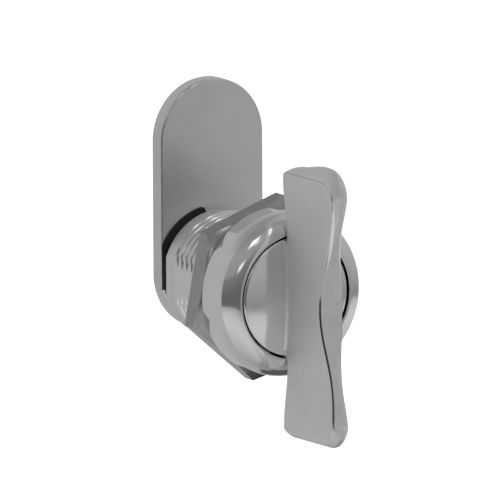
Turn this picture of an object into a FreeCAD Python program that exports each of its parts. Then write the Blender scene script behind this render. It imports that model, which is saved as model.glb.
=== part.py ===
import FreeCAD, Part
import math
import os

import Sketcher
from FreeCAD import Placement, Rotation, Vector

# Quarter-turn cam lock worked by a cast wing knob, for a double-D panel hole of 22 x 20 mm.
# The lock's axis is Y. The knob is at -Y, in front of the panel, and the cam is at +Y, behind it.
# +Z is up, where the cam points when the lock is shut, and +X is to the right seen from the front.
# The origin is on the axis, in the plane where the bezel seats on the panel.
# Places along the axis are named ..._y and measured from that plane.

doc = FreeCAD.newDocument("cam_lock")

# ---------------------------------------------------------------- driving dimensions, mm and degrees
SIZES = [
    # bezel and pocket for the knob's disc
    ("bezel_radius", 14.0),
    ("bezel_seat_radius", 13.7),
    ("bezel_rim_y", -3.0),
    ("bezel_front_y", -7.25),
    ("bezel_lip_radius", 10.75),
    ("bezel_dome_radius", 3.95),
    ("pocket_radius", 10.45),
    ("pocket_floor_y", -4.55),
    # barrel with its thread, M22 x 1.5
    ("barrel_radius", 11.0),
    ("barrel_flat", 10.0),
    ("barrel_end_y", 17.6),
    ("barrel_tip_radius", 10.4),
    ("barrel_chamfer", 0.4),
    ("thread_pitch", 1.5),
    ("thread_depth", 0.85),
    ("thread_flank", 0.65),
    ("thread_root", 0.2),
    ("thread_overcut", 0.1),
    ("thread_start_y", 0.9),
    ("thread_end_y", 14.9),
    ("bore_radius", 6.05),
    ("counterbore_radius", 8.2),
    ("counterbore_y", 11.0),
    # quarter-turn stop: the barrel's rear collar is open at the left,
    # and the disc's sector turns in the opening
    ("collar_inner_radius", 8.7),
    ("collar_outer_radius", 10.3),
    ("collar_height", 1.2),
    ("collar_root", 0.5),
    ("collar_edge_angle", 98.0),
    ("stop_disc_radius", 11.3),
    ("stop_disc_front_y", 17.7),
    ("stop_hub_radius", 8.4),
    ("sector_front_y", 18.1),
    ("sector_corner", 0.8),
    ("sector_span", 94.0),
    ("stop_slack", 0.4),
    ("knob_turn", 90.0),
    # knob: disc, spindle and wing
    ("disc_radius", 10.1),
    ("disc_edge", 0.35),
    ("disc_edge_y", -7.15),
    ("disc_crown_y", -7.95),
    ("disc_crown_radius", 60.0),
    ("disc_back_y", -5.1),
    ("spindle_radius", 6.0),
    ("spindle_shoulder_y", 17.7),
    ("spindle_end_y", 21.6),
    ("square_half", 4.0),
    ("square_corner", 5.4),
    ("tapped_radius", 3.0),
    ("tapped_floor_y", 9.0),
    ("tapped_cone", 1.2),
    ("wing_half_height", 22.9),
    ("wing_centre_z", -0.4),
    ("wing_root_y", -7.95),
    ("wing_mid_front_y", -18.3),
    ("wing_tip_front_y", -21.6),
    ("wing_mid_half", 2.1),
    ("wing_waist_half", 1.1),
    ("wing_tip_half", 1.55),
    ("wing_root_mid_half", 2.15),
    ("wing_root_tip_half", 3.0),
    ("wing_corner_round", 0.45),
    ("wing_front_corner", 3.8),
    ("wing_root_corner", 1.2),
    ("wing_crown", 1.0),
    ("web_half", 1.7),
    ("web_bite", 0.4),
    ("web_half_height", 9.4),
    # seal, washers and retaining ring inside the barrel
    ("seal_cord_radius", 0.75),
    ("seal_ring_radius", 5.25),
    ("seal_y", 2.0),
    ("seal_groove_radius", 4.5),
    ("seal_groove_half", 0.95),
    ("friction_thick", 0.5),
    ("friction_radius", 9.9),
    ("thrust_thick", 0.5),
    ("thrust_radius", 8.0),
    ("washer_bore", 6.15),
    ("washer_gap", 0.05),
    ("spring_height", 1.0),
    ("spring_thick", 0.3),
    ("clip_groove_radius", 5.2),
    ("clip_groove_y", 12.55),
    ("clip_groove_width", 1.1),
    ("clip_thick", 1.0),
    ("clip_radius", 7.5),
    ("clip_half_opening", 25.0),
    ("clip_seat_gap", 0.02),
    # mounting nut
    ("nut_across_flats", 27.0),
    ("nut_front_y", 0.2),
    ("nut_thick", 3.85),
    ("nut_bore", 11.05),
    ("nut_turned", 19.5),
    ("nut_chamfer", 0.9),
    ("nut_bevel_inset", 0.1),
    ("turning_margin", 0.05),
    # cam
    ("cam_half_width", 10.0),
    ("cam_reach", 22.6),
    ("cam_front_y", 19.0),
    ("cam_thick", 2.85),
    ("cam_edge", 0.35),
    ("cam_square_half", 4.05),
    # fastener, M6
    ("flat_washer_radius", 6.0),
    ("flat_washer_thick", 1.6),
    ("lock_washer_radius", 5.6),
    ("lock_washer_thick", 1.6),
    ("lock_washer_gap", 1.1),
    ("lock_washer_tilt", 25.0),
    ("lock_washer_slot_start", 1.0),
    ("lock_washer_slot_depth", 6.0),
    ("washer_hole", 3.2),
    ("screw_radius", 2.95),
    ("screw_length", 12.0),
    ("screw_head_height", 4.0),
    ("screw_across_flats", 10.0),
    ("screw_bevel_inset", 0.15),
    ("screw_bevel_height", 0.55),
    # how far a cutting or joining shape runs past what it meets
    ("cut_margin", 1.0),
]

sheet = doc.addObject("Spreadsheet::Sheet", "Sizes")
for row, (alias, value) in enumerate(SIZES, start=1):
    sheet.set(f"A{row}", alias)
    sheet.set(f"B{row}", str(value))
    sheet.setAlias(f"B{row}", alias)
doc.recompute()


def size(name):
    """The value of one cell of the sheet."""
    return float(getattr(sheet, name))


def value_of(formula):
    """The number that a formula of sheet aliases gives, such as 'nut_front_y + nut_thick'."""
    total, sign = 0.0, 1.0
    for word in formula.split():
        if word in "+-":
            sign = 1.0 if word == "+" else -1.0
            continue
        total += sign * (size(word) if word[0].isalpha() else float(word))
        sign = 1.0
    return total


def cells(formula):
    """The same formula as FreeCAD writes it, with each alias read from the sheet."""
    return " ".join(f"Sizes.{w}" if w[0].isalpha() else w for w in formula.split())


def bind(obj, prop, formula):
    obj.setExpression(prop, cells(formula))


# planes along the axis where the pieces behind the barrel meet
CAM_BACK = "cam_front_y + cam_thick"
LOCK_WASHER_FRONT = f"{CAM_BACK} + flat_washer_thick"
SCREW_HEAD_FRONT = f"{LOCK_WASHER_FRONT} + lock_washer_thick"


# ---------------------------------------------------------------- sketches and bodies
def new_body(label):
    body = doc.addObject("PartDesign::Body", label)
    body.Label = label
    return body


def plane_of(body, role):
    return next(f for f in body.Origin.OriginFeatures if f.Role == role)


def new_sketch(body, role, name):
    sketch = body.newObject("Sketcher::SketchObject", name)
    sketch.AttachmentSupport = [(plane_of(body, role), "")]
    sketch.MapMode = "FlatFace"
    return sketch


def constrain(sketch, name, formula, kind, *where):
    """Adds a constraint whose value is bound to the sheet."""
    sketch.addConstraint(Sketcher.Constraint(kind, *where, value_of(formula)))
    sketch.renameConstraint(sketch.ConstraintCount - 1, name)
    sketch.setExpression(f"Constraints.{name}", cells(formula))


def corner(sketch, edge, end, horizontal, vertical, name):
    """Fixes one end of an edge at a place given by two formulas."""
    constrain(sketch, f"{name}x", horizontal, "DistanceX", -1, 1, edge, end)
    constrain(sketch, f"{name}y", vertical, "DistanceY", -1, 1, edge, end)


def outline(sketch, points, bulges=None, half_rounds=None):
    """A closed outline through points given as pairs of formulas.

    bulges maps an edge's number to the radius formula of an arc that bows out of the edge's left side, and
    half_rounds maps one to the formula for the height of a half circle's centre.
    """
    bulges = bulges or {}
    half_rounds = half_rounds or {}
    places = [Vector(value_of(a), value_of(b), 0) for a, b in points]
    count = len(places)
    ends = []
    for i, start in enumerate(places):
        end = places[(i + 1) % count]
        if i not in bulges and i not in half_rounds:
            sketch.addGeometry(Part.LineSegment(start, end), False)
            ends.append((1, 2))
            continue
        chord = end - start
        radius = value_of(bulges[i]) if i in bulges else chord.Length / 2
        rise = radius - math.sqrt(max(0.0, radius**2 - (chord.Length / 2) ** 2))
        side = Vector(-chord.y, chord.x, 0).normalize()
        middle = (start + end) * 0.5 + side * rise
        # a sketch counts an arc's ends anticlockwise, and this one is followed clockwise
        sketch.addGeometry(Part.Arc(end, middle, start), False)
        ends.append((2, 1))
    for i in range(count):
        follower = (i + 1) % count
        sketch.addConstraint(Sketcher.Constraint("Coincident", i, ends[i][1], follower, ends[follower][0]))
        corner(sketch, i, ends[i][0], points[i][0], points[i][1], f"p{i}")
    for i, formula in bulges.items():
        constrain(sketch, f"bow{i}", formula, "Radius", i)
    for i, formula in half_rounds.items():
        constrain(sketch, f"centre{i}", formula, "DistanceY", -1, 1, i, 3)


def revolve(body, name, points, bulges=None, kind="PartDesign::Revolution", sweep=None, turned=None):
    """Revolves an outline of (radius, y) pairs about the lock's axis, whole or through a sector."""
    sketch = new_sketch(body, "XY_Plane", f"{name}_outline")
    outline(sketch, points, bulges)
    if turned:
        # a sector starts at an angle measured from +X towards +Z
        sketch.AttachmentOffset = Placement(Vector(), Rotation(Vector(0, 1, 0), -value_of(turned)))
        sketch.setExpression("AttachmentOffset.Rotation.Angle", f"-({cells(turned)})")
    feature = body.newObject(kind, name)
    feature.Profile = sketch
    feature.ReferenceAxis = (sketch, ["V_Axis"])
    feature.Angle = value_of(sweep) if sweep else 360.0
    if sweep:
        feature.Reversed = True
        bind(feature, "Angle", sweep)
    return feature


def rectangle(low_x, high_x, low_z, high_z):
    return [(low_x, low_z), (high_x, low_z), (high_x, high_z), (low_x, high_z)]


def cut_towards_rear(body, name, points, start, length):
    """Pockets an outline of (x, z) pairs from the plane at start, towards the rear."""
    sketch = new_sketch(body, "XZ_Plane", f"{name}_outline")
    outline(sketch, points)
    sketch.AttachmentOffset = Placement(Vector(0, 0, -value_of(start)), Rotation())
    sketch.setExpression("AttachmentOffset.Base.z", f"-({cells(start)})")
    pocket = body.newObject("PartDesign::Pocket", name)
    pocket.Profile = sketch
    bind(pocket, "Length", length)
    return pocket


def cut_flats(body, half, reach, start, length):
    """Cuts two flats square to X, as on a double-D barrel."""
    for name, low, high in (("right_flat", half, reach), ("left_flat", f"- {reach}", f"- {half}")):
        cut_towards_rear(body, name, rectangle(low, high, f"- {reach}", reach), start, length)


# ---------------------------------------------------------------- round pieces from Part primitives
ALONG_Y = Rotation(Vector(1, 0, 0), -90)


def tube(name, radius, start, length):
    """A cylinder on the lock's axis from the plane at start, towards the rear."""
    piece = doc.addObject("Part::Cylinder", name)
    bind(piece, "Radius", radius)
    bind(piece, "Height", length)
    piece.Placement = Placement(Vector(0, value_of(start), 0), ALONG_Y)
    bind(piece, "Placement.Base.y", start)
    return piece


def cut(label, base, tool):
    piece = doc.addObject("Part::Cut", label)
    piece.Base = base
    piece.Tool = tool
    piece.Label = label
    return piece


def washer(label, radius, hole, start, thickness):
    disc = tube(f"{label}_blank", radius, start, thickness)
    bore = tube(f"{label}_bore", hole, start, thickness)
    return cut(label, disc, bore)


def hexagon(name, across_flats, start, length, turned):
    """A hexagonal prism on the lock's axis, with a corner at the turned angle from +X."""
    piece = doc.addObject("Part::Prism", name)
    piece.Polygon = 6
    piece.setExpression("Circumradius", f"{cells(across_flats)} / 2 / cos(30 deg)")
    bind(piece, "Height", length)
    upright = Rotation(Vector(0, 1, 0), -turned)
    piece.Placement = Placement(Vector(0, value_of(start), 0), upright * ALONG_Y)
    bind(piece, "Placement.Base.y", start)
    return piece


def outside_corners(across_flats):
    """The radius just outside a hexagon's corners, as a formula."""
    return f"{size(across_flats) / 2 / math.cos(math.radians(30)) + size('turning_margin'):.4f}"


def bevelled(name, blank, points):
    """A hexagon with its corners turned off by a revolved outline of (radius, y) pairs."""
    body = new_body(f"{name}_turning")
    revolve(body, f"{name}_turned", points)
    piece = doc.addObject("Part::Common", name)
    piece.Base = blank
    piece.Tool = body
    return piece


# ---------------------------------------------------------------- housing: bezel and threaded barrel
def make_housing():
    body = new_body("housing")
    revolve(
        body,
        "housing_turned",
        [
            ("bezel_seat_radius", "0"),
            ("bezel_radius", "bezel_seat_radius - bezel_radius"),
            ("bezel_radius", "bezel_rim_y"),
            ("bezel_lip_radius", "bezel_front_y"),
            ("pocket_radius", "bezel_front_y"),
            ("pocket_radius", "pocket_floor_y"),
            ("bore_radius", "pocket_floor_y"),
            ("bore_radius", "counterbore_y"),
            ("counterbore_radius", "counterbore_y"),
            ("counterbore_radius", "barrel_end_y"),
            ("barrel_tip_radius - barrel_chamfer", "barrel_end_y"),
            ("barrel_tip_radius", "barrel_end_y - barrel_chamfer"),
            ("barrel_tip_radius", "thread_end_y"),
            ("barrel_radius", "thread_end_y - barrel_radius + barrel_tip_radius"),
            ("barrel_radius", "0"),
        ],
        bulges={2: "bezel_dome_radius"},
    )
    # the thread as ring grooves, one pitch apart, so that any nut position shows the same crests
    groove = revolve(
        body,
        "thread_groove",
        [
            ("barrel_radius + thread_overcut", "thread_start_y"),
            ("barrel_radius - thread_depth", "thread_start_y + thread_flank"),
            ("barrel_radius - thread_depth", "thread_start_y + thread_flank + thread_root"),
            ("barrel_radius + thread_overcut", "thread_start_y + thread_pitch"),
        ],
        kind="PartDesign::Groove",
    )
    doc.recompute()
    turns = int((size("thread_end_y") - size("thread_start_y")) / size("thread_pitch"))
    pattern = body.newObject("PartDesign::LinearPattern", "thread")
    pattern.Originals = [groove]
    pattern.Direction = (plane_of(body, "Y_Axis"), [""])
    pattern.Length = (turns - 1) * size("thread_pitch")
    pattern.Occurrences = turns
    body.Tip = pattern
    doc.recompute()
    cut_flats(body, "barrel_flat", "bezel_radius", "0", "barrel_end_y")
    doc.recompute()
    revolve(
        body,
        "stop_collar",
        [
            ("collar_inner_radius", "barrel_end_y - collar_root"),
            ("collar_outer_radius", "barrel_end_y - collar_root"),
            ("collar_outer_radius", "barrel_end_y + collar_height"),
            ("collar_inner_radius", "barrel_end_y + collar_height"),
        ],
        sweep="360 - sector_span - knob_turn - stop_slack - stop_slack",
        turned="collar_edge_angle - 360 + sector_span + knob_turn + stop_slack + stop_slack",
    )
    return body


# ---------------------------------------------------------------- wing knob: disc, spindle and blade
# shares of the blade's half height: where its waist is, and where the flares start and how long they are
WAIST_AT = 0.57
FLARE_LENGTH = 0.33
ROOT_FLARE_AT = 0.48
ROOT_FLARE_LENGTH = 0.42
# how much of its thickness the blade loses over the crown of a tip, and the largest corner round in it
TIP_NARROWING = 0.62
CORNER_SHARE = 0.45


def ease(fraction):
    """Rises smoothly from 0 to 1 as the fraction goes from 0 to 1."""
    return 0.5 - 0.5 * math.cos(math.pi * min(max(fraction, 0.0), 1.0))


def quarter_round(distance, radius):
    """How far a quarter round has drawn back, a distance from where its straight side ends."""
    reach = min(max(distance, 0.0), radius)
    return radius - math.sqrt(radius**2 - reach**2)


def blade_section(height):
    """The blade's cross-section at a height from its middle, as a closed wire in a level plane.

    The blade is thick in the middle, waisted on either side of it and flared at the tips. Its front edge is
    dished. Seen from the side its corners are rounded, and each tip is crowned across its thickness.
    """
    half_height = size("wing_half_height")
    away = abs(height)
    along = away / half_height

    # half of the thickness, along the front edge and along the root
    front_half = size("wing_mid_half")
    front_half += (size("wing_waist_half") - size("wing_mid_half")) * ease(along / WAIST_AT)
    front_half += (size("wing_tip_half") - size("wing_waist_half")) * ease((along - WAIST_AT) / FLARE_LENGTH)
    root_half = size("wing_root_mid_half")
    root_half += (size("wing_root_tip_half") - root_half) * ease((along - ROOT_FLARE_AT) / ROOT_FLARE_LENGTH)
    front_y = size("wing_mid_front_y") + (size("wing_tip_front_y") - size("wing_mid_front_y")) * ease(along)
    root_y = size("wing_root_y")

    # the side view's corners, then the crown across the tip
    to_tip = half_height - away
    front_y += quarter_round(size("wing_front_corner") - to_tip, size("wing_front_corner"))
    root_y -= quarter_round(size("wing_root_corner") - to_tip, size("wing_root_corner"))
    into_crown = max(0.0, size("wing_crown") - to_tip) / size("wing_crown")
    narrowing = 1 - TIP_NARROWING * (1 - math.sqrt(1 - into_crown**2))
    front_half *= narrowing
    root_half *= narrowing

    level = height + size("wing_centre_z")
    corners = [
        Vector(-root_half, root_y, level),
        Vector(-front_half, front_y, level),
        Vector(front_half, front_y, level),
        Vector(root_half, root_y, level),
    ]
    return rounded_wire(corners, min(size("wing_corner_round"), CORNER_SHARE * front_half))


def rounded_wire(corners, radius):
    """A closed wire through the corners, each one rounded to the radius."""
    count = len(corners)
    rounds = []
    for i, here in enumerate(corners):
        before = (corners[i - 1] - here).normalize()
        after = (corners[(i + 1) % count] - here).normalize()
        half_angle = before.getAngle(after) / 2
        setback = radius / math.tan(half_angle)
        inward = (before + after).normalize()
        middle = here + inward * (radius / math.sin(half_angle) - radius)
        rounds.append((here + before * setback, middle, here + after * setback))
    edges = []
    for i, (start, middle, end) in enumerate(rounds):
        edges.append(Part.Arc(start, middle, end).toShape())
        edges.append(Part.LineSegment(end, rounds[(i + 1) % count][0]).toShape())
    return Part.Wire(edges)


def make_blade():
    half_height = size("wing_half_height")
    even = [0.1 * step for step in range(9)]
    towards_tip = [0.85, 0.89, 0.925, 0.95, 0.965, 0.98, 0.992, 1.0]
    upper = even + towards_tip
    stations = [-along for along in reversed(upper[1:])] + upper
    wires = [blade_section(along * half_height) for along in stations]
    blade = doc.addObject("Part::Feature", "blade")
    blade.Shape = Part.makeLoft(wires, True, False)
    return blade


def make_web():
    """The short web that joins the blade to the crowned disc, inside both."""
    web = doc.addObject("Part::Box", "wing_web")
    bind(web, "Length", "web_half + web_half")
    bind(web, "Width", "disc_back_y - wing_root_y")
    bind(web, "Height", "web_half_height + web_half_height")
    bind(web, "Placement.Base.x", "- web_half")
    bind(web, "Placement.Base.y", "wing_root_y - web_bite")
    bind(web, "Placement.Base.z", "- web_half_height")
    return web


def make_wing_knob():
    body = new_body("knob_turning")
    groove_low = "seal_y - seal_groove_half"
    groove_high = "seal_y + seal_groove_half"
    clip_high = "clip_groove_y + clip_groove_width"
    revolve(
        body,
        "knob_turned",
        [
            ("0", "disc_crown_y"),
            ("0", "tapped_floor_y"),
            ("tapped_radius", "tapped_floor_y + tapped_cone"),
            ("tapped_radius", "spindle_end_y"),
            ("square_corner", "spindle_end_y"),
            ("square_corner", "spindle_shoulder_y"),
            ("spindle_radius", "spindle_shoulder_y"),
            ("spindle_radius", clip_high),
            ("clip_groove_radius", clip_high),
            ("clip_groove_radius", "clip_groove_y"),
            ("spindle_radius", "clip_groove_y"),
            ("spindle_radius", groove_high),
            ("seal_groove_radius", groove_high),
            ("seal_groove_radius", groove_low),
            ("spindle_radius", groove_low),
            ("spindle_radius", "disc_back_y"),
            ("disc_radius", "disc_back_y"),
            ("disc_radius", "disc_edge_y + disc_edge"),
            ("disc_radius - disc_edge", "disc_edge_y"),
        ],
        bulges={18: "disc_crown_radius"},
    )
    doc.recompute()
    for name, low_x, high_x, low_z, high_z in (
        ("square_right", "square_half", "disc_radius", "- disc_radius", "disc_radius"),
        ("square_left", "- disc_radius", "- square_half", "- disc_radius", "disc_radius"),
        ("square_top", "- disc_radius", "disc_radius", "square_half", "disc_radius"),
        ("square_bottom", "- disc_radius", "disc_radius", "- disc_radius", "- square_half"),
    ):
        points = rectangle(low_x, high_x, low_z, high_z)
        length = "spindle_end_y - spindle_shoulder_y + cut_margin"
        cut_towards_rear(body, name, points, "spindle_shoulder_y", length)
    doc.recompute()
    knob = doc.addObject("Part::MultiFuse", "wing_knob")
    knob.Shapes = [body, make_blade(), make_web()]
    knob.Label = "wing_knob"
    return knob


# ---------------------------------------------------------------- pieces inside the barrel
def make_seal_ring():
    ring = doc.addObject("Part::Torus", "seal_ring")
    ring.Label = "seal_ring"
    bind(ring, "Radius1", "seal_ring_radius")
    bind(ring, "Radius2", "seal_cord_radius")
    ring.Placement = Placement(Vector(0, size("seal_y"), 0), ALONG_Y)
    bind(ring, "Placement.Base.y", "seal_y")
    return ring


def make_spring_washer():
    body = new_body("spring_washer")
    base = "counterbore_y + washer_gap + thrust_thick"
    revolve(
        body,
        "spring_cone",
        [
            ("thrust_radius", base),
            ("thrust_radius", f"{base} + spring_thick"),
            ("washer_bore", f"{base} + spring_height"),
            ("washer_bore", f"{base} + spring_height - spring_thick"),
        ],
    )
    return body


def make_retaining_ring():
    body = new_body("retaining_ring")
    front = "clip_groove_y + washer_gap"
    back = f"{front} + clip_thick"
    inner = "clip_groove_radius + clip_seat_gap"
    ring = [(inner, front), ("clip_radius", front), ("clip_radius", back), (inner, back)]
    # the opening is at the bottom
    sweep = "360 - clip_half_opening - clip_half_opening"
    revolve(body, "clip", ring, sweep=sweep, turned="-90 + clip_half_opening")
    return body


# ---------------------------------------------------------------- stop disc and cam
def make_stop_disc():
    body = new_body("stop_disc")
    front = "stop_disc_front_y"
    back = "cam_front_y"
    radius = "stop_disc_radius"
    revolve(body, "disc", [("0", front), (radius, front), (radius, back), ("0", back)])
    doc.recompute()
    # all but the sector is turned down to the hub
    turned_down = [
        ("stop_hub_radius", f"{front} - cut_margin"),
        (f"{radius} + cut_margin", f"{front} - cut_margin"),
        (f"{radius} + cut_margin", f"{back} + cut_margin"),
        ("stop_hub_radius", f"{back} + cut_margin"),
    ]
    sweep = "360 - sector_span"
    turned = "collar_edge_angle + stop_slack + sector_span"
    revolve(body, "turned_down", turned_down, kind="PartDesign::Groove", sweep=sweep, turned=turned)
    doc.recompute()
    # the sector is thinner than the hub, to stand off the barrel's end
    thinned = [
        ("stop_hub_radius", f"{front} - cut_margin"),
        (f"{radius} + cut_margin", f"{front} - cut_margin"),
        (f"{radius} + cut_margin", "sector_front_y"),
        ("stop_hub_radius", "sector_front_y"),
    ]
    step = revolve(body, "sector_step", thinned, kind="PartDesign::Groove")
    doc.recompute()
    corner = body.newObject("PartDesign::Fillet", "sector_round")
    corner.Base = (step, [leading_edge(step.Shape)])
    bind(corner, "Radius", "sector_corner")
    doc.recompute()
    half = "cam_square_half"
    depth = f"{back} - {front} + cut_margin"
    cut_towards_rear(body, "square_hole", rectangle(f"- {half}", half, f"- {half}", half), front, depth)
    cut_flats(body, "barrel_flat", "bezel_radius", front, depth)
    return body


def leading_edge(shape):
    """The sector's outer edge at the end that meets the collar first, along Y."""
    angle = math.radians(value_of("collar_edge_angle + stop_slack"))
    radius = size("stop_disc_radius")
    corner = (radius * math.cos(angle), radius * math.sin(angle))
    for number, edge in enumerate(shape.Edges, start=1):
        box = edge.BoundBox
        across = math.dist((box.XMin, box.ZMin), corner) + math.dist((box.XMax, box.ZMax), corner)
        if across < 1e-3:
            return f"Edge{number}"
    raise ValueError("the stop disc's sector has no leading edge")


def make_cam():
    body = new_body("cam")
    sketch = new_sketch(body, "XZ_Plane", "cam_outline")
    half = "cam_half_width"
    points = [(f"- {half}", "0"), (f"- {half}", "cam_reach"), (half, "cam_reach"), (half, "0")]
    outline(sketch, points, half_rounds={1: "cam_reach", 3: "0"})
    # the outline lies in the cam's rear plane, and the pad grows from it to the front
    sketch.AttachmentOffset = Placement(Vector(0, 0, -value_of(CAM_BACK)), Rotation())
    sketch.setExpression("AttachmentOffset.Base.z", f"-({cells(CAM_BACK)})")
    pad = body.newObject("PartDesign::Pad", "cam_plate")
    pad.Profile = sketch
    bind(pad, "Length", "cam_thick")
    doc.recompute()
    rounded = body.newObject("PartDesign::Fillet", "cam_rounded_edges")
    rounded.Base = (pad, outer_edges(pad.Shape))
    bind(rounded, "Radius", "cam_edge")
    doc.recompute()
    half = "cam_square_half"
    hole = rectangle(f"- {half}", half, f"- {half}", half)
    depth = "cam_thick + cut_margin + cut_margin"
    cut_towards_rear(body, "cam_square_hole", hole, "cam_front_y - cut_margin", depth)
    return body


def outer_edges(shape):
    """The edges of a plate square to Y that lie in its front or rear face."""
    box = shape.BoundBox
    names = []
    for number, edge in enumerate(shape.Edges, start=1):
        level = edge.BoundBox
        if level.YLength < 1e-6 and min(abs(level.YMin - box.YMin), abs(level.YMax - box.YMax)) < 1e-6:
            names.append(f"Edge{number}")
    return names


# ---------------------------------------------------------------- nut and fastener
def make_mounting_nut():
    across = "nut_across_flats"
    blank = hexagon("nut_blank", across, "nut_front_y", "nut_thick", size("nut_turned"))
    # the turned bevel starts a little inside the flats, so that every corner has a short round of it
    flat_radius = f"{size('nut_across_flats') / 2 - size('nut_bevel_inset'):.4f}"
    full_radius = outside_corners("nut_across_flats")
    back = "nut_front_y + nut_thick"
    turned = bevelled(
        "nut_bevelled",
        blank,
        [
            ("0", "nut_front_y"),
            (flat_radius, "nut_front_y"),
            (full_radius, "nut_front_y + nut_chamfer"),
            (full_radius, f"{back} - nut_chamfer"),
            (flat_radius, back),
            ("0", back),
        ],
    )
    bore = tube("nut_bore_cut", "nut_bore", "nut_front_y - cut_margin", "nut_thick + cut_margin + cut_margin")
    return cut("mounting_nut", turned, bore)


def make_lock_washer(start):
    ring = washer("lock_washer_ring", "lock_washer_radius", "washer_hole", start, "lock_washer_thick")
    # the split runs slantwise through the ring, at the right
    slot = doc.addObject("Part::Box", "lock_washer_slot")
    bind(slot, "Length", "lock_washer_radius")
    bind(slot, "Height", "lock_washer_gap")
    bind(slot, "Width", "lock_washer_slot_depth")
    middle = value_of(start) + size("lock_washer_thick") / 2
    tilt = Rotation(Vector(1, 0, 0), size("lock_washer_tilt"))
    offset = tilt.multVec(Vector(0, -size("lock_washer_slot_depth") / 2, -size("lock_washer_gap") / 2))
    slot.Placement = Placement(Vector(size("lock_washer_slot_start"), middle, 0) + offset, tilt)
    return cut("lock_washer", ring, slot)


def make_cam_screw(start):
    across = "screw_across_flats"
    head_blank = hexagon("screw_head_blank", across, start, "screw_head_height", 0)
    full_radius = outside_corners("screw_across_flats")
    back = f"{start} + screw_head_height"
    head = bevelled(
        "screw_head",
        head_blank,
        [
            ("0", start),
            (full_radius, start),
            (full_radius, f"{back} - screw_bevel_height"),
            (f"{size('screw_across_flats') / 2 - size('screw_bevel_inset'):.4f}", back),
            ("0", back),
        ],
    )
    shank = tube("screw_shank", "screw_radius", f"{start} - screw_length", "screw_length + cut_margin")
    screw = doc.addObject("Part::Fuse", "cam_screw")
    screw.Base = head
    screw.Tool = shank
    screw.Label = "cam_screw"
    return screw


# ---------------------------------------------------------------- assembly

NODES = [
    make_housing(),
    make_mounting_nut(),
    make_wing_knob(),
    washer("friction_washer", "friction_radius", "washer_bore", "disc_back_y", "friction_thick"),
    make_seal_ring(),
    washer("thrust_washer", "thrust_radius", "washer_bore", "counterbore_y + washer_gap", "thrust_thick"),
    make_spring_washer(),
    make_retaining_ring(),
    make_stop_disc(),
    make_cam(),
    washer("cam_washer", "flat_washer_radius", "washer_hole", CAM_BACK, "flat_washer_thick"),
    make_lock_washer(LOCK_WASHER_FRONT),
    make_cam_screw(SCREW_HEAD_FRONT),
]
doc.recompute()

# ---------------------------------------------------------------- checks, then one file for each piece
for obj in doc.Objects:
    bad = [state for state in obj.State if state in ("Invalid", "Error")]
    if bad:
        raise RuntimeError(f"{obj.Label} did not recompute: {bad}")

os.makedirs("parts", exist_ok=True)
for node in NODES:
    shape = node.Shape
    if shape.isNull() or not shape.isValid() or not shape.Solids:
        raise RuntimeError(f"{node.Label} has no valid solid")
    shape.exportStep(f"parts/{node.Label}.step")
    box = shape.optimalBoundingBox()
    print(
        f"{node.Label:16s} solids {len(shape.Solids)} volume {shape.Volume:9.1f} mm3  "
        f"x {box.XMin:.2f} {box.XMax:.2f}  y {box.YMin:.2f} {box.YMax:.2f}  z {box.ZMin:.2f} {box.ZMax:.2f}"
    )
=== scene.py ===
"""Looks of a quarter-turn cam lock with a cast wing knob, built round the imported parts.

Lengths are in metres. The lock's axis is Y, its front faces -Y and Z is up.
"""

import math

import bmesh
import bpy
from mathutils import Matrix, Vector
from mathutils.geometry import delaunay_2d_cdt


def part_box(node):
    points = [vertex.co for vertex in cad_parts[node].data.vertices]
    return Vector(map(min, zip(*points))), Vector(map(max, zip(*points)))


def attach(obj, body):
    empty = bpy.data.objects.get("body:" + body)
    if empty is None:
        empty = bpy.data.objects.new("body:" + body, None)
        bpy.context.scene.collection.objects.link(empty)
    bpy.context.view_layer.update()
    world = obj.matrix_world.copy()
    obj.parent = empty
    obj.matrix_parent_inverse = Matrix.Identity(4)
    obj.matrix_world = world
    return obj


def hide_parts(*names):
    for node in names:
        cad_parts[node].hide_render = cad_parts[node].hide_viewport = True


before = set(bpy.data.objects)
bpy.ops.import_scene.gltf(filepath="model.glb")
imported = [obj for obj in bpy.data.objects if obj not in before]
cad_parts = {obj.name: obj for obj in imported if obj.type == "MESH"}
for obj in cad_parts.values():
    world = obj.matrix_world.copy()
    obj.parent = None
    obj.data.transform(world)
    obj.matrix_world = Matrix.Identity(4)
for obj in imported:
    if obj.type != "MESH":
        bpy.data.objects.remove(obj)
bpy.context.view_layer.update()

MM = 0.001
FULL_TURN = 2 * math.pi
TINY = 1e-6


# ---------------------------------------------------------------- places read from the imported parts
def low(node):
    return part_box(node)[0]


def high(node):
    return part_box(node)[1]


BEZEL_RADIUS = 14.0 * MM
BEZEL_FRONT_Y = low("housing").y
COLLAR_HEIGHT = 1.2 * MM
BARREL_END_Y = high("housing").y - COLLAR_HEIGHT
KNOB_BACK_Y = high("wing_knob").y
SHOULDER_Y = low("stop_disc").y
NUT_FRONT_Y, NUT_BACK_Y = low("mounting_nut").y, high("mounting_nut").y
CAM_FRONT_Y, CAM_BACK_Y = low("cam").y, high("cam").y
CAM_HALF_WIDTH = high("cam").x
WING_TOP_Z, WING_BOTTOM_Z = high("wing_knob").z, low("wing_knob").z


# ---------------------------------------------------------------- mesh helpers
def new_piece(name, bm, body, material, replaces=(), sharp_degrees=35):
    """Turns a bmesh into a smooth-shaded piece that rides on a body."""
    bmesh.ops.recalc_face_normals(bm, faces=bm.faces)
    mesh = bpy.data.meshes.new(name)
    bm.to_mesh(mesh)
    bm.free()
    mesh.polygons.foreach_set("use_smooth", [True] * len(mesh.polygons))
    mesh.set_sharp_from_angle(angle=math.radians(sharp_degrees))
    mesh.materials.append(material)
    piece = bpy.data.objects.new(name, mesh)
    bpy.context.scene.collection.objects.link(piece)
    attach(piece, body)
    if replaces:
        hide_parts(*replaces)
    return piece


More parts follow.
